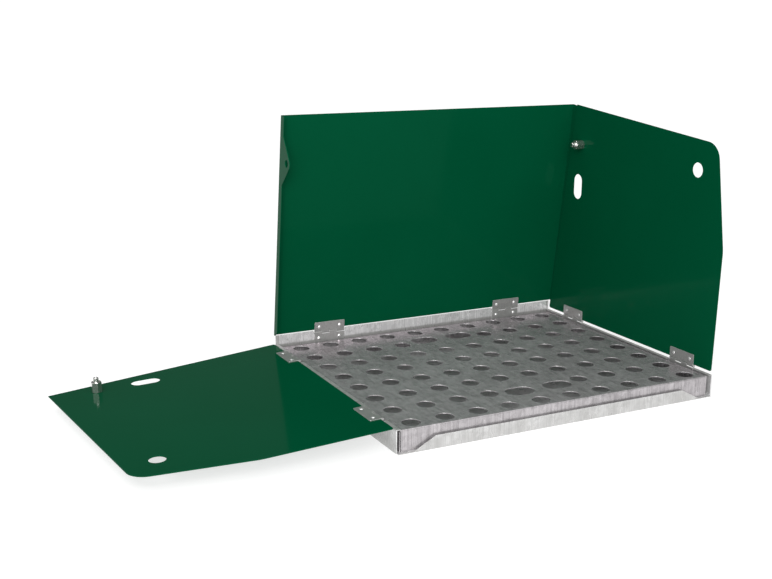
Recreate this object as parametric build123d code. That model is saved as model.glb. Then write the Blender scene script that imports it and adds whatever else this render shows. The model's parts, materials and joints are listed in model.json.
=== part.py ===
from build123d import *

import os
from math import cos, radians

# Fold-flat poultry nesting box: a galvanised tray with a perforated floor plate, and three painted sheet
# panels (left, right and back), each on two riveted butt hinges.
#
# Frame: millimetres. +X is the right-hand side seen from the open front, +Y is the rear, +Z is up.
# The origin is on the ground, at the middle of the tray's 500 x 400 footprint.
# Stored pose: the right panel stands upright, the back panel leans a little forward, and the left panel is
# folded outwards.

# ---------------------------------------------------------------- driving dimensions
TRAY_WIDTH = 500.0
TRAY_DEPTH = 400.0
WALL_HEIGHT = 32.0
UPSTAND_HEIGHT = 46.3
SHEET = 1.2
BEND_RADIUS = 2.0
WALL_LIP = 6.0

# Front tab: a trapezoid bent up from the bottom sheet, just ahead of the floor plate's front skirt.
TAB_OVERHANG = 2.5
TAB_HEIGHT = 17.3
TAB_HALF_BASE = 228.0
TAB_HALF_TOP = 195.0

# Loose perforated floor plate: a shallow cover with turned-down skirts, standing on the bottom sheet.
FLOOR_TOP = 30.0
FLOOR_HALF_WIDTH = 243.5
FLOOR_FRONT_GAP = 2.0
FLOOR_DEPTH = 388.6
SKIRT_RELIEF = 3.0
SKIRT_CLEARANCE = 0.05
HOLE_COLUMNS = 10
HOLE_ROWS = 8
HOLE_PITCH_X = 48.5
HOLE_PITCH_Y = 50.0
HOLE_RADIUS = 12.25
OVAL_LENGTH = 43.0
OVAL_WIDTH = 29.0
OVAL_OFFSET_X = 30.3
OVAL_OFFSET_Y = 133.5
OVAL_COLUMNS = (4, 5)
OVAL_ROWS = (1, 6)

# Butt hinges, 50 mm long, with four knuckle segments on a loose pin.
HINGE_LENGTH = 50.0
LEAF_WIDTH = 17.0
LEAF_SHEET = 1.0
KNUCKLE_RADIUS = 2.0
KNUCKLE_BORE = 1.0
KNUCKLE_SEGMENTS = 4
KNUCKLE_GAP = 0.3
LEAF_NOTCH = 2.6
LEAF_CORNER = 1.5
PIN_RADIUS = 0.95
PIN_HEAD_RADIUS = 1.6
PIN_HEAD_THICKNESS = 0.6
PIN_HEAD_GAP = 0.1
RIVET_SPACING = 34.0
RIVET_FROM_AXIS = 9.0
RIVET_RADIUS = 1.6
RIVET_HEAD_RADIUS = 2.7
RIVET_HEAD_HEIGHT = 1.0
RIVET_TAIL_RADIUS = 2.4
RIVET_TAIL_HEIGHT = 0.5

# Hinge axes. Each leaf is tangent to the inner side of the knuckles, and lies on the inner face of its sheet.
# SHEET_INNER is that face, measured outwards from the axis.
SHEET_INNER = LEAF_SHEET - KNUCKLE_RADIUS
SIDE_AXIS_X = TRAY_WIDTH / 2 - SHEET - SHEET_INNER
SIDE_AXIS_Z = 33.3
SIDE_HINGE_FROM_FRONT = (62.5, 328.0)
BACK_AXIS_Y = TRAY_DEPTH / 2 - SHEET - SHEET_INNER
BACK_AXIS_Z = 43.0
BACK_HINGE_X = (-160.5, 160.5)
NOTCH_LENGTH = 53.0
SIDE_NOTCH_Z = 29.0
BACK_NOTCH_Z = 40.4

# Side panels: u runs rearwards from the tray's front, v runs up from the panel's bottom edge.
SIDE_EDGE_ABOVE_AXIS = 2.4
SIDE_OUTLINE = (
    (2.0, 0.0),
    (-2.5, 172.8),
    (20.5, 316.8),
    (343.0, 345.8),
    (396.0, 0.0),
)
SIDE_BULGE_RADIUS = 60.0
SIDE_TOP_RADIUS = 26.0
SIDE_FOOT_RADIUS = 3.0
ROUND_HOLE_UV = (58.0, 277.3)
ROUND_HOLE_RADIUS = 10.5
SLOT_UV = (332.0, 215.8)
SLOT_LENGTH = 40.0
SLOT_WIDTH = 21.0
STUD_UV = (325.5, 284.3)

# Stud: a threaded bolt riveted flush in the side panel, with a hexagon nut on it.
STUD_RADIUS = 3.8
STUD_LENGTH = 20.5
STUD_SLOT_WIDTH = 1.6
STUD_SLOT_DEPTH = 3.0
NUT_ACROSS_FLATS = 13.0
NUT_LENGTH = 14.4
NUT_CHAMFER = 0.9

# Back panel, with forward side flanges that run outside the side panels, and an eared hole in each.
BACK_EDGE_ABOVE_AXIS = 5.2
BACK_TOP_ABOVE_AXIS = 340.7
FLANGE_CLEARANCE = 0.8
FLANGE_DEPTH = 11.0
FLANGE_FOOT_CLIP = 8.0
FLANGE_BEND_RADIUS = 1.6
EAR_BASE_ABOVE_AXIS = (241.4, 312.4)
EAR_HOLE_ABOVE_AXIS = 277.1
EAR_HOLE_FORWARD = 26.0
EAR_HOLE_RADIUS = 5.5
EAR_TIP_RADIUS = 11.0

# Stored pose.
LEFT_OPEN_ANGLE = 92.25
BACK_LEAN_ANGLE = 7.2

FRONT_Y = -TRAY_DEPTH / 2

# Cutters run past the faces that they cut: OVERCUT just past one sheet, CUT well past a whole piece.
OVERCUT = 3.0
CUT = 20.0
TOLERANCE = 0.01


# ---------------------------------------------------------------- small helpers
def polygon(points):
    """A flat face in the XY plane through the given corner points."""
    return make_face(Polyline(*points, close=True))


def rounded(face, corner, radius):
    """The face with the vertex nearest to corner rounded off."""
    vertex = min(face.vertices(), key=lambda v: (v.X - corner[0]) ** 2 + (v.Y - corner[1]) ** 2)
    return fillet(vertex, radius)


def box_between(low, high):
    """An axis-aligned box from its low corner to its high corner."""
    size = [high[i] - low[i] for i in range(3)]
    centre = [(high[i] + low[i]) / 2 for i in range(3)]
    return Pos(*centre) * Box(*size)


def prism_x(face, low, high):
    """Extrudes a face drawn as (y, z) along +X, from x = low to x = high."""
    return Pos(low, 0, 0) * (Plane.YZ * extrude(face, high - low))


def cylinder_x(radius, low, high, y, z):
    """A round bar along X."""
    return Pos((low + high) / 2, y, z) * (Rot(0, 90, 0) * Cylinder(radius, high - low))


def cylinder_y(radius, low, high, x, z):
    """A round bar along Y."""
    return Pos(x, (low + high) / 2, z) * (Rot(90, 0, 0) * Cylinder(radius, high - low))


def mirrored(shape):
    """The same piece for the other side of the box."""
    return mirror(shape, about=Plane.YZ)


# ---------------------------------------------------------------- tray
def tray_section():
    """Cross-section of the tray: bottom sheet, side walls and their inward lips, drawn as (x, z)."""
    half = TRAY_WIDTH / 2
    inner = half - SHEET
    lip = half - WALL_LIP
    right = [
        (half, 0.0),
        (half, WALL_HEIGHT),
        (lip, WALL_HEIGHT),
        (lip, WALL_HEIGHT - SHEET),
        (inner, WALL_HEIGHT - SHEET),
        (inner, SHEET),
    ]
    left = [(-x, z) for x, z in reversed(right)]
    face = polygon(right + left)
    for side in (1, -1):
        for z in (0.0, WALL_HEIGHT):
            face = rounded(face, (side * half, z), BEND_RADIUS)
        for z in (SHEET, WALL_HEIGHT - SHEET):
            face = rounded(face, (side * inner, z), BEND_RADIUS - SHEET)
    return face


def front_tab():
    """Bottom sheet's front edge and the trapezoid tab bent up from it."""
    y_out = FRONT_Y - TAB_OVERHANG
    half = TRAY_WIDTH / 2 - BEND_RADIUS
    strip = box_between((-half, y_out, 0), (half, FRONT_Y + OVERCUT, SHEET))
    outline = polygon(
        [
            (-TAB_HALF_BASE, 0.0),
            (TAB_HALF_BASE, 0.0),
            (TAB_HALF_TOP, TAB_HEIGHT),
            (-TAB_HALF_TOP, TAB_HEIGHT),
        ]
    )
    tab = Pos(0, y_out + SHEET, 0) * (Plane.XZ * extrude(outline, SHEET))
    return strip + tab


def hinge_notch_y():
    """Centres of the side hinges along Y."""
    return [FRONT_Y + distance for distance in SIDE_HINGE_FROM_FRONT]


def base_tray():
    body = Pos(0, -FRONT_Y, 0) * (Plane.XZ * extrude(tray_section(), TRAY_DEPTH))
    body += front_tab()
    rear = TRAY_DEPTH / 2
    half_inside = TRAY_WIDTH / 2 - SHEET
    upstand = box_between((-half_inside, rear - SHEET, 0), (half_inside, rear, UPSTAND_HEIGHT))
    body += upstand
    for x in BACK_HINGE_X:
        low = (x - NOTCH_LENGTH / 2, rear - CUT / 2, BACK_NOTCH_Z)
        high = (x + NOTCH_LENGTH / 2, rear + CUT / 2, UPSTAND_HEIGHT + CUT)
        body -= box_between(low, high)
    for side in (1, -1):
        for y in hinge_notch_y():
            middle = Pos(side * TRAY_WIDTH / 2, y, SIDE_NOTCH_Z + CUT / 2)
            body -= middle * Box(2 * WALL_LIP + OVERCUT, NOTCH_LENGTH, CUT)
            hole_z = SIDE_AXIS_Z - RIVET_FROM_AXIS
            for hole_y in rivet_places(y):
                wall_x = side * half_inside
                body -= cylinder_x(RIVET_RADIUS, wall_x - OVERCUT, wall_x + OVERCUT, hole_y, hole_z)
    for x in BACK_HINGE_X:
        for hole_x in rivet_places(x):
            hole_z = BACK_AXIS_Z - RIVET_FROM_AXIS
            body -= cylinder_y(RIVET_RADIUS, rear - OVERCUT, rear + OVERCUT, hole_x, hole_z)
    return body


# ---------------------------------------------------------------- floor plate
def floor_centre_y():
    return FRONT_Y + FLOOR_FRONT_GAP + FLOOR_DEPTH / 2


def floor_perforation():
    """Round holes on a grid, with two larger ovals front and rear where the studs drop in."""
    middle_y = floor_centre_y()
    cutters = []
    for column in range(HOLE_COLUMNS):
        x = (column - (HOLE_COLUMNS - 1) / 2) * HOLE_PITCH_X
        for row in range(HOLE_ROWS):
            y = middle_y + (row - (HOLE_ROWS - 1) / 2) * HOLE_PITCH_Y
            if column in OVAL_COLUMNS and row in OVAL_ROWS:
                continue
            cutters.append(Pos(x, y, FLOOR_TOP) * Cylinder(HOLE_RADIUS, 2 * BEND_RADIUS))
    oval = extrude(SlotOverall(OVAL_LENGTH, OVAL_WIDTH), 2 * BEND_RADIUS)
    for x in (-OVAL_OFFSET_X, OVAL_OFFSET_X):
        for y in (middle_y - OVAL_OFFSET_Y, middle_y + OVAL_OFFSET_Y):
            cutters.append(Pos(x, y, FLOOR_TOP - BEND_RADIUS) * oval)
    return cutters


def floor_plate():
    front = FRONT_Y + FLOOR_FRONT_GAP
    rear = front + FLOOR_DEPTH
    half = FLOOR_HALF_WIDTH
    foot = SHEET + SKIRT_CLEARANCE
    shell = box_between((-half, front, foot), (half, rear, FLOOR_TOP))
    long_edges = shell.edges().filter_by(GeomType.LINE).group_by(Axis.Z)[-1]
    shell = fillet(long_edges, BEND_RADIUS)
    inner = box_between(
        (-half + SHEET, front + SHEET, -CUT),
        (half - SHEET, rear - SHEET, FLOOR_TOP - SHEET),
    )
    inner_edges = inner.edges().filter_by(GeomType.LINE).group_by(Axis.Z)[-1]
    shell -= fillet(inner_edges, BEND_RADIUS - SHEET)
    for x in (-half, half):
        for y in (front, rear):
            shell -= Pos(x, y, 0) * Box(SKIRT_RELIEF, SKIRT_RELIEF, 2 * (FLOOR_TOP - BEND_RADIUS))
    return shell - floor_perforation()


# ---------------------------------------------------------------- hinges and rivets
def rivet_places(centre):
    """The two rivet positions along a hinge centred at the given coordinate."""
    return [centre - RIVET_SPACING / 2, centre + RIVET_SPACING / 2]


def segment_span(index):
    """Start and end of a knuckle segment along the hinge, measured from the hinge's middle."""
    pitch = HINGE_LENGTH / KNUCKLE_SEGMENTS
    low = -HINGE_LENGTH / 2 + index * pitch
    gap_low = KNUCKLE_GAP / 2 if index > 0 else 0.0
    gap_high = KNUCKLE_GAP / 2 if index < KNUCKLE_SEGMENTS - 1 else 0.0
    return low + gap_low, low + pitch - gap_high


def hinge_leaf(direction):
    """One leaf along Y, with its axis at the origin and its back face at x = SHEET_INNER.

    direction is 1 for the moving leaf, which stands up from the axis, and -1 for the fixed leaf.
    """
    own = [i for i in range(KNUCKLE_SEGMENTS) if i % 2 == (0 if direction > 0 else 1)]
    other = [i for i in range(KNUCKLE_SEGMENTS) if i not in own]
    half = HINGE_LENGTH / 2
    outline = polygon(
        [
            (-half, 0.0),
            (half, 0.0),
            (half, direction * LEAF_WIDTH),
            (-half, direction * LEAF_WIDTH),
        ]
    )
    for end in (-half, half):
        outline = rounded(outline, (end, direction * LEAF_WIDTH), LEAF_CORNER)
    leaf = prism_x(outline, -KNUCKLE_RADIUS, SHEET_INNER)
    for index in other:
        low, high = segment_span(index)
        margin = KNUCKLE_GAP
        leaf -= box_between((-CUT, low - margin, -LEAF_NOTCH), (0, high + margin, LEAF_NOTCH))
    for index in own:
        low, high = segment_span(index)
        leaf += cylinder_y(KNUCKLE_RADIUS, low, high, 0, 0)
    leaf -= cylinder_y(KNUCKLE_BORE, -half - OVERCUT, half + OVERCUT, 0, 0)
    for y in rivet_places(0):
        leaf -= cylinder_x(RIVET_RADIUS, -CUT, CUT, y, direction * RIVET_FROM_AXIS)
    return leaf


def hinge_pin():
    """Loose pin along Y with a flat head at each end."""
    half = HINGE_LENGTH / 2 + PIN_HEAD_GAP
    pin = cylinder_y(PIN_RADIUS, -half, half, 0, 0)
    for end in (-1, 1):
        inner = end * half
        outer = end * (half + PIN_HEAD_THICKNESS)
        pin += cylinder_y(PIN_HEAD_RADIUS, min(inner, outer), max(inner, outer), 0, 0)
    return pin


def rivet(y, z):
    """A domed rivet along X through one leaf and the sheet behind it."""
    front = -KNUCKLE_RADIUS
    back = SHEET_INNER + SHEET
    shank = cylinder_x(RIVET_RADIUS, front, back, y, z)
    cap_radius = (RIVET_HEAD_RADIUS**2 + RIVET_HEAD_HEIGHT**2) / (2 * RIVET_HEAD_HEIGHT)
    ball = Pos(front - RIVET_HEAD_HEIGHT + cap_radius, y, z) * Sphere(cap_radius)
    keep = cylinder_x(RIVET_HEAD_RADIUS + OVERCUT, front - RIVET_HEAD_HEIGHT - OVERCUT, front, y, z)
    tail = cylinder_x(RIVET_TAIL_RADIUS, back, back + RIVET_TAIL_HEIGHT, y, z)
    return shank + (ball & keep) + tail


def rivet_pair(direction):
    """The two rivets of one leaf, in the leaf's own frame."""
    return [rivet(y, direction * RIVET_FROM_AXIS) for y in rivet_places(0)]


# ---------------------------------------------------------------- side panels
def side_point(uv):
    """Panel coordinates (u, v) as (y, z), with z measured from the hinge axis."""
    return FRONT_Y + uv[0], SIDE_EDGE_ABOVE_AXIS + uv[1]


def side_panel():
    """The right-hand panel, upright, with its hinge axis on the Y axis."""
    corners = [side_point(uv) for uv in SIDE_OUTLINE]
    face = polygon(corners)
    radii = (SIDE_FOOT_RADIUS, SIDE_BULGE_RADIUS, SIDE_TOP_RADIUS, None, SIDE_FOOT_RADIUS)
    for corner, radius in zip(corners, radii):
        if radius:
            face = rounded(face, corner, radius)
    face -= Pos(*side_point(ROUND_HOLE_UV)) * Circle(ROUND_HOLE_RADIUS)
    face -= Pos(*side_point(SLOT_UV)) * SlotOverall(SLOT_LENGTH, SLOT_WIDTH, rotation=90)
    face -= Pos(*side_point(STUD_UV)) * Circle(STUD_RADIUS)
    for y in hinge_notch_y():
        for hole_y in rivet_places(y):
            face -= Pos(hole_y, RIVET_FROM_AXIS) * Circle(RIVET_RADIUS)
    return prism_x(face, SHEET_INNER, SHEET_INNER + SHEET)


def stud_bolt():
    """Bolt from the panel's outer face inwards, with a screwdriver slot across its free end."""
    y, z = side_point(STUD_UV)
    tip = SHEET_INNER - STUD_LENGTH
    bolt = cylinder_x(STUD_RADIUS, tip, SHEET_INNER + SHEET, y, z)
    bolt = chamfer(bolt.edges().filter_by(GeomType.CIRCLE).group_by(Axis.X)[0], NUT_CHAMFER)
    slot = Pos(tip, y, z) * Box(2 * STUD_SLOT_DEPTH, 4 * STUD_RADIUS, STUD_SLOT_WIDTH)
    return bolt - slot


def stud_nut():
    """Long hexagon nut seated against the panel's inner face, its corners turned off at both ends."""
    y, z = side_point(STUD_UV)
    corner_radius = NUT_ACROSS_FLATS / 2 / cos(radians(30))
    hexagon = RegularPolygon(corner_radius, 6) - Circle(STUD_RADIUS)
    prism = Plane.YZ * extrude(hexagon, NUT_LENGTH)
    turned = Rot(0, 90, 0) * Cylinder(corner_radius, NUT_LENGTH)
    turned = chamfer(turned.edges().filter_by(GeomType.CIRCLE), NUT_CHAMFER)
    nut = prism & (Pos(NUT_LENGTH / 2, 0, 0) * turned)
    return Pos(SHEET_INNER - NUT_LENGTH, y, z) * nut


# ---------------------------------------------------------------- back panel
def back_flange():
    """Right-hand flange of the back panel with its ear, drawn as (y, z) from the hinge axis."""
    face_y = SHEET_INNER
    edge_y = face_y - FLANGE_DEPTH
    rear_y = face_y + SHEET
    foot = BACK_EDGE_ABOVE_AXIS
    strip = polygon(
        [
            (rear_y, foot),
            (rear_y, BACK_TOP_ABOVE_AXIS),
            (edge_y, BACK_TOP_ABOVE_AXIS),
            (edge_y, foot + FLANGE_FOOT_CLIP),
            (edge_y + FLANGE_FOOT_CLIP, foot),
        ]
    )
    hole = (face_y - EAR_HOLE_FORWARD, EAR_HOLE_ABOVE_AXIS)
    low, high = EAR_BASE_ABOVE_AXIS
    tip = Pos(*hole) * Circle(EAR_TIP_RADIUS)
    base = polygon([(face_y, low), (face_y, high), (edge_y, high), (edge_y, low)])
    ear = make_hull(tip.edges() + base.edges())
    inner = TRAY_WIDTH / 2 + FLANGE_CLEARANCE
    face = strip + ear - Pos(*hole) * Circle(EAR_HOLE_RADIUS)
    return prism_x(face, inner, inner + SHEET)


def back_panel():
    """The back panel, upright, with its hinge axis on the X axis."""
    outer = TRAY_WIDTH / 2 + FLANGE_CLEARANCE + SHEET
    front = SHEET_INNER
    sheet = box_between(
        (-outer, front, BACK_EDGE_ABOVE_AXIS),
        (outer, front + SHEET, BACK_TOP_ABOVE_AXIS),
    )
    flange = back_flange()
    panel = sheet + flange + mirrored(flange)
    bend_edges = [
        edge
        for edge in panel.edges().filter_by(Axis.Z)
        if abs(abs(edge.center().X) - outer) < TOLERANCE
        and abs(edge.center().Y - front - SHEET) < TOLERANCE
    ]
    panel = fillet(bend_edges, FLANGE_BEND_RADIUS)
    for x in BACK_HINGE_X:
        for hole_x in rivet_places(x):
            panel -= cylinder_y(RIVET_RADIUS, -CUT, CUT, hole_x, RIVET_FROM_AXIS)
    return panel


# ---------------------------------------------------------------- placing
TO_RIGHT_AXIS = Pos(SIDE_AXIS_X, 0, SIDE_AXIS_Z)
TO_LEFT_AXIS = Pos(-SIDE_AXIS_X, 0, SIDE_AXIS_Z)
TO_BACK_AXIS = Pos(0, BACK_AXIS_Y, BACK_AXIS_Z)
LEFT_OPEN = Rot(0, -LEFT_OPEN_ANGLE, 0)
BACK_LEAN = Rot(BACK_LEAN_ANGLE, 0, 0)
TURN_TO_BACK = Rot(0, 0, 90)


def place_right(shape):
    return TO_RIGHT_AXIS * shape


def place_left_fixed(shape):
    return TO_LEFT_AXIS * mirrored(shape)


def place_left_moving(shape):
    return TO_LEFT_AXIS * (LEFT_OPEN * mirrored(shape))


def place_back_fixed(shape):
    return TO_BACK_AXIS * shape


def place_back_moving(shape):
    return TO_BACK_AXIS * (BACK_LEAN * shape)


def build_side(nodes, name, place_fixed, place_moving):
    """One side panel with its stud, its two hinges and their rivets."""
    nodes[f"{name}_side_panel"] = place_moving(side_panel())
    nodes[f"{name}_stud_bolt"] = place_moving(stud_bolt())
    nodes[f"{name}_stud_nut"] = place_moving(stud_nut())
    fixed_rivets = []
    moving_rivets = []
    for position, y in zip(("front", "rear"), hinge_notch_y()):
        shift = Pos(0, y, 0)
        nodes[f"{name}_{position}_hinge_fixed_leaf"] = place_fixed(shift * hinge_leaf(-1))
        nodes[f"{name}_{position}_hinge_moving_leaf"] = place_moving(shift * hinge_leaf(1))
        nodes[f"{name}_{position}_hinge_pin"] = place_fixed(shift * hinge_pin())
        fixed_rivets += [place_fixed(shift * piece) for piece in rivet_pair(-1)]
        moving_rivets += [place_moving(shift * piece) for piece in rivet_pair(1)]
    nodes[f"{name}_tray_rivets"] = Compound(children=fixed_rivets)
    nodes[f"{name}_panel_rivets"] = Compound(children=moving_rivets)


def build_back(nodes):
    """The back panel with its two hinges and their rivets."""
    nodes["back_panel"] = place_back_moving(back_panel())
    fixed_rivets = []
    moving_rivets = []
    for position, x in zip(("left", "right"), BACK_HINGE_X):
        shift = Pos(x, 0, 0) * TURN_TO_BACK
        nodes[f"back_{position}_hinge_fixed_leaf"] = place_back_fixed(shift * hinge_leaf(-1))
        nodes[f"back_{position}_hinge_moving_leaf"] = place_back_moving(shift * hinge_leaf(1))
        nodes[f"back_{position}_hinge_pin"] = place_back_fixed(shift * hinge_pin())
        fixed_rivets += [place_back_fixed(shift * piece) for piece in rivet_pair(-1)]
        moving_rivets += [place_back_moving(shift * piece) for piece in rivet_pair(1)]
    nodes["back_tray_rivets"] = Compound(children=fixed_rivets)
    nodes["back_panel_rivets"] = Compound(children=moving_rivets)


def build():
    nodes = {"base_tray": base_tray(), "floor_plate": floor_plate()}
    build_side(nodes, "right", place_right, place_right)
    build_side(nodes, "left", place_left_fixed, place_left_moving)
    build_back(nodes)
    return nodes


os.makedirs("parts", exist_ok=True)
for node_name, node_shape in build().items():
    export_step(node_shape, f"parts/{node_name}.step")
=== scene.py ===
"""Studio scene of a fold-flat poultry nesting box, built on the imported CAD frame. Metres, +Z up."""

import json
import math

import bpy
from mathutils import Matrix, Vector


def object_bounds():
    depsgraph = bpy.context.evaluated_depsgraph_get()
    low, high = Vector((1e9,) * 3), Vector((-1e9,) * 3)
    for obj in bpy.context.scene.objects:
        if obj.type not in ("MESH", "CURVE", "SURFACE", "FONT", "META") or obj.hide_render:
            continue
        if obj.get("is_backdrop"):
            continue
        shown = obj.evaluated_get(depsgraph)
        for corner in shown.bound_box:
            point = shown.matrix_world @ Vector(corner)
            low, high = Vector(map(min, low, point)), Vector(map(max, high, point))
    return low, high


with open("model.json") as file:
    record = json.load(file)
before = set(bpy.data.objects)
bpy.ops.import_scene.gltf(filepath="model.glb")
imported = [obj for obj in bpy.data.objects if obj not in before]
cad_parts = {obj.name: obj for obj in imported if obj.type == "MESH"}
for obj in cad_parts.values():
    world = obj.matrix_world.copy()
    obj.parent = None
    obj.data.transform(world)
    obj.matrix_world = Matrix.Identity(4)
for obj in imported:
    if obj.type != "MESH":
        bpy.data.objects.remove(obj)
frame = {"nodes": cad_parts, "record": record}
START_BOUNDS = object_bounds()
SCENE = bpy.context.scene

# Camera, as a position, a viewing direction and a lens.
CAMERA_PLACE = (-0.8509, -1.3504, 0.5290)
CAMERA_AZIMUTH = math.radians(26.98)
CAMERA_ELEVATION = math.radians(13.904)
CAMERA_ROLL = 0.0069
CAMERA_LENS = 53.07
SENSOR_WIDTH = 36.0

# Studio.
WORLD_GREY = 0.19
FLOOR_ALBEDO = 0.36
FLOOR_GLOW = 0.70
FLOOR_RADIUS = 14.0
FLOOR_FLAT_RADIUS = 5.0
FLOOR_RISE = 1.3
FLOOR_RINGS = 48
FLOOR_SEGMENTS = 96
SKY_PLACE = (-1.0, -1.5, 3.0)
SKY_ANGLE = math.radians(110.0)
SKY_STRENGTH = 2.7
KEY_PLACE = (-1.7, -3.0, 1.6)
KEY_TARGET = (0.0, 0.0, 0.15)
KEY_SIZE = 2.6
KEY_WATTS = 130.0

# Finishes: linear colours.
PAINT_GREEN = (0.0001, 0.0455, 0.0178)
PAINT_WORN = (0.002, 0.085, 0.040)
GALVANISED = (0.84, 0.84, 0.84)
GALVANISED_DARK = (0.50, 0.50, 0.50)
PLATE_GREY = (0.52, 0.498, 0.510)
PLATE_DARK = (0.25, 0.239, 0.245)
HINGE_ZINC = (0.42, 0.42, 0.41)
HINGE_DARK = (0.23, 0.23, 0.225)
RIVET_STEEL = (0.88, 0.88, 0.87)
RIVET_DARK = (0.55, 0.55, 0.54)
STUD_ZINC = (0.80, 0.80, 0.78)
STUD_DARK = (0.45, 0.45, 0.43)
# Painted highlight: the bright colour given to the edges of zinc sheet, standing in for light caught by the edges.
EDGE_HIGHLIGHT = (0.97, 0.97, 0.97)
# Darker zinc on the tray's outside and lips, and also the colour of the painted shadow behind the plate.
DARK_ZINC_AND_SHADOW = (0.30, 0.295, 0.285)
PLATE_SHEEN = (1.0, 0.84, 0.92, 1.0)
PAINT_SHEEN = (0.25, 1.0, 0.6, 1.0)


class Finish:
    """A procedural material: a Principled shader with node helpers around it."""

    def __init__(self, name, metallic, specular):
        self.material = bpy.data.materials.new(name)
        self.material.use_nodes = True
        self.tree = self.material.node_tree
        self.shader = self.tree.nodes["Principled BSDF"]
        self.shader.inputs["Metallic"].default_value = metallic
        self.shader.inputs["Specular IOR Level"].default_value = specular
        self.coords = self.tree.nodes.new("ShaderNodeTexCoord").outputs["Object"]

    def node(self, kind, **settings):
        made = self.tree.nodes.new(kind)
        for key, value in settings.items():
            setattr(made, key, value)
        return made

    def link(self, source, target):
        self.tree.links.new(source, target)

    def stretched(self, scale):
        """Object coordinates multiplied by a scale along each axis."""
        mapping = self.node("ShaderNodeMapping")
        mapping.inputs["Scale"].default_value = scale
        self.link(self.coords, mapping.inputs["Vector"])
        return mapping.outputs["Vector"]

    def noise(self, scale, detail=2.0, roughness=0.5, vector=None):
        made = self.node("ShaderNodeTexNoise")
        made.inputs["Scale"].default_value = scale
        made.inputs["Detail"].default_value = detail
        made.inputs["Roughness"].default_value = roughness
        self.link(vector or self.coords, made.inputs["Vector"])
        return made.outputs["Fac"]

    def spangle(self, scale):
        """Crystal cells of a zinc coating: one grey value for each cell."""
        warp = self.node("ShaderNodeTexNoise")
        warp.inputs["Scale"].default_value = scale * 1.7
        self.link(self.coords, warp.inputs["Vector"])
        shift = self.node("ShaderNodeVectorMath", operation="SCALE")
        shift.inputs["Scale"].default_value = 0.35 / scale
        self.link(warp.outputs["Color"], shift.inputs[0])
        moved = self.node("ShaderNodeVectorMath", operation="ADD")
        self.link(self.coords, moved.inputs[0])
        self.link(shift.outputs["Vector"], moved.inputs[1])
        cells = self.node("ShaderNodeTexVoronoi")
        cells.inputs["Scale"].default_value = scale
        self.link(moved.outputs["Vector"], cells.inputs["Vector"])
        grey = self.node("ShaderNodeSeparateColor")
        self.link(cells.outputs["Color"], grey.inputs["Color"])
        return grey.outputs["Red"]

    def remap(self, value, low, high, to_low, to_high):
        made = self.node("ShaderNodeMapRange")
        made.inputs["From Min"].default_value = low
        made.inputs["From Max"].default_value = high
        made.inputs["To Min"].default_value = to_low
        made.inputs["To Max"].default_value = to_high
        self.link(value, made.inputs["Value"])
        return made.outputs["Result"]

    def math(self, operation, first, second):
        made = self.node("ShaderNodeMath", operation=operation)
        for socket, value in zip(made.inputs, (first, second)):
            if isinstance(value, float):
                socket.default_value = value
            else:
                self.link(value, socket)
        return made.outputs["Value"]

    def mix(self, factor, first, second):
        """A colour between two, each a linear colour or another node's output."""
        made = self.node("ShaderNodeMix", data_type="RGBA")
        self.link(factor, made.inputs[0])
        for socket, value in ((made.inputs[6], first), (made.inputs[7], second)):
            if isinstance(value, tuple):
                socket.default_value = (*value, 1.0)
            else:
                self.link(value, socket)
        return made.outputs[2]

    def edge(self, radius):
        """1 on the outer edges of a sheet, 0 on its faces."""
        soft = self.node("ShaderNodeBevel", samples=4)
        soft.inputs["Radius"].default_value = radius
        flat = self.node("ShaderNodeNewGeometry")
        turn = self.node("ShaderNodeVectorMath", operation="DOT_PRODUCT")
        self.link(soft.outputs["Normal"], turn.inputs[0])
        self.link(flat.outputs["Normal"], turn.inputs[1])
        return self.remap(turn.outputs["Value"], 0.995, 0.90, 0.0, 1.0)

    def bump(self, height, strength, distance, rounding=0.0):
        made = self.node("ShaderNodeBump")
        made.inputs["Strength"].default_value = strength
        made.inputs["Distance"].default_value = distance
        self.link(height, made.inputs["Height"])
        if rounding:
            soft = self.node("ShaderNodeBevel", samples=4)
            soft.inputs["Radius"].default_value = rounding
            self.link(soft.outputs["Normal"], made.inputs["Normal"])
        self.link(made.outputs["Normal"], self.shader.inputs["Normal"])

    def surface(self, colour, roughness):
        self.link(colour, self.shader.inputs["Base Color"])
        self.link(roughness, self.shader.inputs["Roughness"])
        return self.material


def green_paint():
    """Glossy green powder coat: orange peel, slight thickness variation, thin paint on the sheet's edges."""
    f = Finish("green_paint", 0.0, 0.035)
    f.shader.inputs["Specular Tint"].default_value = PAINT_SHEEN
    broad = f.noise(5.0, 3.0)
    fine = f.noise(900.0, 2.0)
    tone = f.math("ADD", f.remap(broad, 0.3, 0.7, 0.0, 0.10), f.remap(fine, 0.35, 0.65, 0.0, 0.06))
    colour = f.mix(tone, PAINT_GREEN, PAINT_WORN)
    colour = f.mix(f.math("MULTIPLY", f.edge(0.0006), 0.45), colour, PAINT_WORN)
    roughness = f.remap(f.noise(28.0, 4.0), 0.3, 0.7, 0.07, 0.13)
    f.bump(f.noise(420.0, 2.0, 0.4), 0.05, 0.00012)
    return f.surface(colour, roughness)


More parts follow.
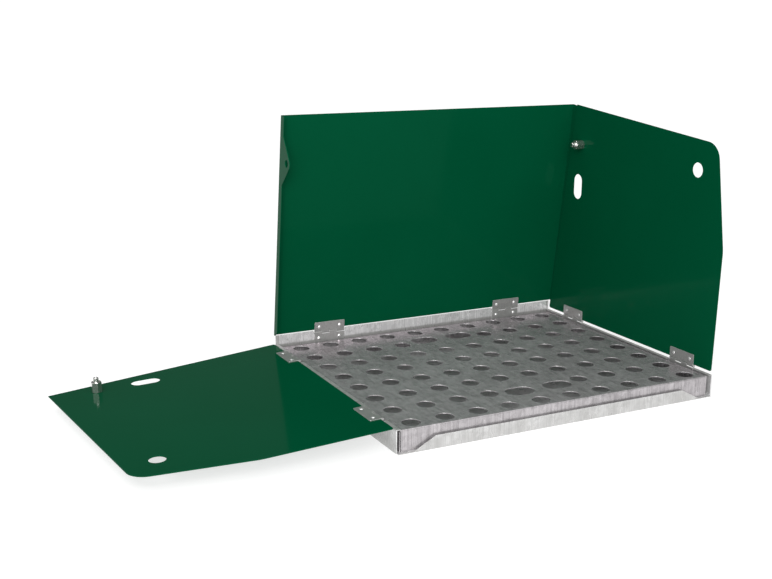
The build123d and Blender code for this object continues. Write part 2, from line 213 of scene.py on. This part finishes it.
def zinc(name, bright, dark, metallic, rough, cells, streak_scale, streak_gain, rounding, darkening_and_shadow=None):
    """Zinc-coated steel: spangle cells, rolling streaks along one direction, small scuffs, and a painted highlight on
    the sheet's edges.
    """
    f = Finish(name, metallic, 0.5)
    crystal = f.remap(f.spangle(cells), 0.0, 1.0, 0.0, 0.35)
    streaks = f.remap(f.noise(1.0, 3.0, 0.6, f.stretched(streak_scale)), 0.35, 0.65, 0.0, streak_gain)
    cloud = f.remap(f.noise(7.0, 4.0, 0.55), 0.3, 0.7, 0.0, 0.25)
    tone = f.math("ADD", f.math("ADD", crystal, streaks), cloud)
    # Painted highlight: every edge of the sheet is mixed towards a bright colour, as if it caught the light.
    colour = f.mix(f.math("MULTIPLY", f.edge(0.0005), 0.7), f.mix(tone, bright, dark), EDGE_HIGHLIGHT)
    # The tray's mask darkens the zinc in places and paints a shadow behind the plate.
    if darkening_and_shadow:
        colour = f.mix(darkening_and_shadow(f), colour, DARK_ZINC_AND_SHADOW)
    uneven = f.math("ADD", f.noise(60.0, 3.0), f.remap(streaks, 0.0, 1.0, -0.2, 0.2))
    roughness = f.remap(uneven, 0.3, 0.7, rough[0], rough[1])
    f.bump(f.noise(700.0, 3.0, 0.6), 0.05, 0.0001, rounding)
    return f.surface(colour, roughness)


def tray_darkening_and_shadow(f):
    """Darker zinc on the outside towards the ground and on the lips, and a painted shadow on the rear of the tray
    below the plate's level, where the gap behind the plate lies in shade.
    """
    place = f.node("ShaderNodeSeparateXYZ")
    f.link(f.coords, place.inputs["Vector"])
    across = f.math("ABSOLUTE", place.outputs["X"], 0.0)
    side = f.math("GREATER_THAN", across, 0.2495)
    front = f.math("LESS_THAN", place.outputs["Y"], -0.2005)
    outside = f.math("MAXIMUM", side, front)
    low = f.math("MULTIPLY", f.remap(place.outputs["Z"], 0.030, 0.014, 0.0, 1.0), outside)
    inner = f.math("LESS_THAN", across, 0.2495)
    lip = f.math("MULTIPLY", f.math("GREATER_THAN", across, 0.2435), inner)
    lip = f.math("MULTIPLY", lip, f.math("GREATER_THAN", place.outputs["Z"], 0.0305))
    patchy = f.remap(f.noise(45.0, 4.0, 0.6), 0.3, 0.7, 0.45, 0.75)
    darkened = f.math("MULTIPLY", f.math("MAXIMUM", low, lip), patchy)
    # Painted shadow: the rear of the tray below the plate's level is darkened, where the gap behind the plate lies in
    # shade.
    gap_shadow = f.remap(place.outputs["Z"], 0.0335, 0.0310, 0.0, 0.8)
    rear = f.math("GREATER_THAN", place.outputs["Y"], 0.19)
    return f.math("MAXIMUM", darkened, f.math("MULTIPLY", gap_shadow, rear))


FINISHES = {
    "green_paint": green_paint(),
    "galvanised_tray": zinc(
        "galvanised_tray", GALVANISED, GALVANISED_DARK, 0.55, (0.26, 0.44), 190.0, (700.0, 700.0, 12.0), 0.75, 0.0006,
        tray_darkening_and_shadow,
    ),
    "galvanised_floor": zinc(
        "galvanised_floor", PLATE_GREY, PLATE_DARK, 0.58, (0.20, 0.36), 160.0, (700.0, 40.0, 12.0), 0.65, 0.0011
    ),
    "zinc_plated_hinge": zinc(
        "zinc_plated_hinge", HINGE_ZINC, HINGE_DARK, 0.6, (0.30, 0.5), 700.0, (900.0, 900.0, 120.0), 0.3, 0.0003
    ),
    "steel_rivet": zinc(
        "steel_rivet", RIVET_STEEL, RIVET_DARK, 0.7, (0.22, 0.38), 900.0, (900.0, 900.0, 200.0), 0.25, 0.0003
    ),
    "zinc_plated_stud": zinc(
        "zinc_plated_stud", STUD_ZINC, STUD_DARK, 0.95, (0.12, 0.28), 900.0, (500.0, 900.0, 900.0), 0.3, 0.0005
    ),
}


FINISHES["galvanised_floor"].node_tree.nodes["Principled BSDF"].inputs["Specular Tint"].default_value = PLATE_SHEEN


def dress_frame():
    """Gives every CAD node the finish of its material slot."""
    for part in frame["record"]["subparts"]:
        mesh = frame["nodes"][part["node"]].data
        mesh.materials.clear()
        mesh.materials.append(FINISHES[part["material_slot"]])


def studio_floor():
    """A pale sweep: flat around the object, and rising slowly towards its rim."""
    rows = []
    for ring in range(FLOOR_RINGS + 1):
        radius = FLOOR_RADIUS * (ring / FLOOR_RINGS)
        beyond = max(0.0, radius - FLOOR_FLAT_RADIUS) / (FLOOR_RADIUS - FLOOR_FLAT_RADIUS)
        rows.append((radius, FLOOR_RISE * beyond**2))
    vertices = [(0.0, 0.0, 0.0)]
    faces = []
    for radius, height in rows[1:]:
        for step in range(FLOOR_SEGMENTS):
            angle = 2 * math.pi * step / FLOOR_SEGMENTS
            vertices.append((radius * math.cos(angle), radius * math.sin(angle), height))
    for step in range(FLOOR_SEGMENTS):
        following = (step + 1) % FLOOR_SEGMENTS
        faces.append((0, 1 + step, 1 + following))
        for ring in range(FLOOR_RINGS - 1):
            inner = 1 + ring * FLOOR_SEGMENTS
            outer = inner + FLOOR_SEGMENTS
            faces.append((inner + step, outer + step, outer + following, inner + following))
    mesh = bpy.data.meshes.new("studio_floor")
    mesh.from_pydata(vertices, [], faces)
    mesh.polygons.foreach_set("use_smooth", [True] * len(mesh.polygons))
    floor = bpy.data.objects.new("studio_floor", mesh)
    SCENE.collection.objects.link(floor)
    f = Finish("pale_floor", 0.0, 0.0)
    paper = f.remap(f.noise(3.0, 2.0), 0.3, 0.7, FLOOR_ALBEDO - 0.01, FLOOR_ALBEDO)
    f.link(paper, f.shader.inputs["Base Color"])
    f.shader.inputs["Roughness"].default_value = 1.0
    f.shader.inputs["Emission Color"].default_value = (1.0, 1.0, 1.0, 1.0)
    f.shader.inputs["Emission Strength"].default_value = FLOOR_GLOW
    mesh.materials.append(f.material)
    floor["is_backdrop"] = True


def lamp(kind, name, place, target):
    """A lamp aimed from one place at another."""
    data = bpy.data.lights.new(name, kind)
    holder = bpy.data.objects.new(name, data)
    holder.location = place
    aim = Vector(target) - Vector(place)
    holder.rotation_euler = aim.to_track_quat("-Z", "Y").to_euler()
    SCENE.collection.objects.link(holder)
    return data


def studio_lights():
    """A wide, soft sky from the upper front left, and a large soft box lower down on the same side."""
    sky = lamp("SUN", "soft_sky", SKY_PLACE, (0.0, 0.0, 0.0))
    sky.angle = SKY_ANGLE
    sky.energy = SKY_STRENGTH
    key = lamp("AREA", "key_box", KEY_PLACE, KEY_TARGET)
    key.shape = "SQUARE"
    key.size = KEY_SIZE
    key.energy = KEY_WATTS


def studio_world():
    world = bpy.data.worlds.new("studio")
    world.use_nodes = True
    background = world.node_tree.nodes["Background"]
    background.inputs["Color"].default_value = (WORLD_GREY, WORLD_GREY, WORLD_GREY, 1.0)
    SCENE.world = world


def camera():
    direction = Vector(
        (
            math.sin(CAMERA_AZIMUTH) * math.cos(CAMERA_ELEVATION),
            math.cos(CAMERA_AZIMUTH) * math.cos(CAMERA_ELEVATION),
            -math.sin(CAMERA_ELEVATION),
        )
    )
    right = direction.cross(Vector((0, 0, 1))).normalized()
    up = right.cross(direction)
    turned_right = right * math.cos(CAMERA_ROLL) + up * math.sin(CAMERA_ROLL)
    turned_up = up * math.cos(CAMERA_ROLL) - right * math.sin(CAMERA_ROLL)
    data = bpy.data.cameras.new("camera")
    data.sensor_width = SENSOR_WIDTH
    data.lens = CAMERA_LENS
    data.clip_end = 100.0
    holder = bpy.data.objects.new("camera", data)
    axes = Matrix((turned_right, turned_up, -direction)).transposed()
    holder.matrix_world = Matrix.Translation(CAMERA_PLACE) @ axes.to_4x4()
    SCENE.collection.objects.link(holder)
    SCENE.camera = holder


dress_frame()
studio_floor()
studio_world()
studio_lights()
camera()
SCENE.view_settings.view_transform = "Standard"


def numbers(value):
    """Nested sequences as plain lists of numbers."""
    try:
        return [numbers(item) for item in value]
    except TypeError:
        return float(value)


{"before": numbers(START_BOUNDS), "after": numbers(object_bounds())}
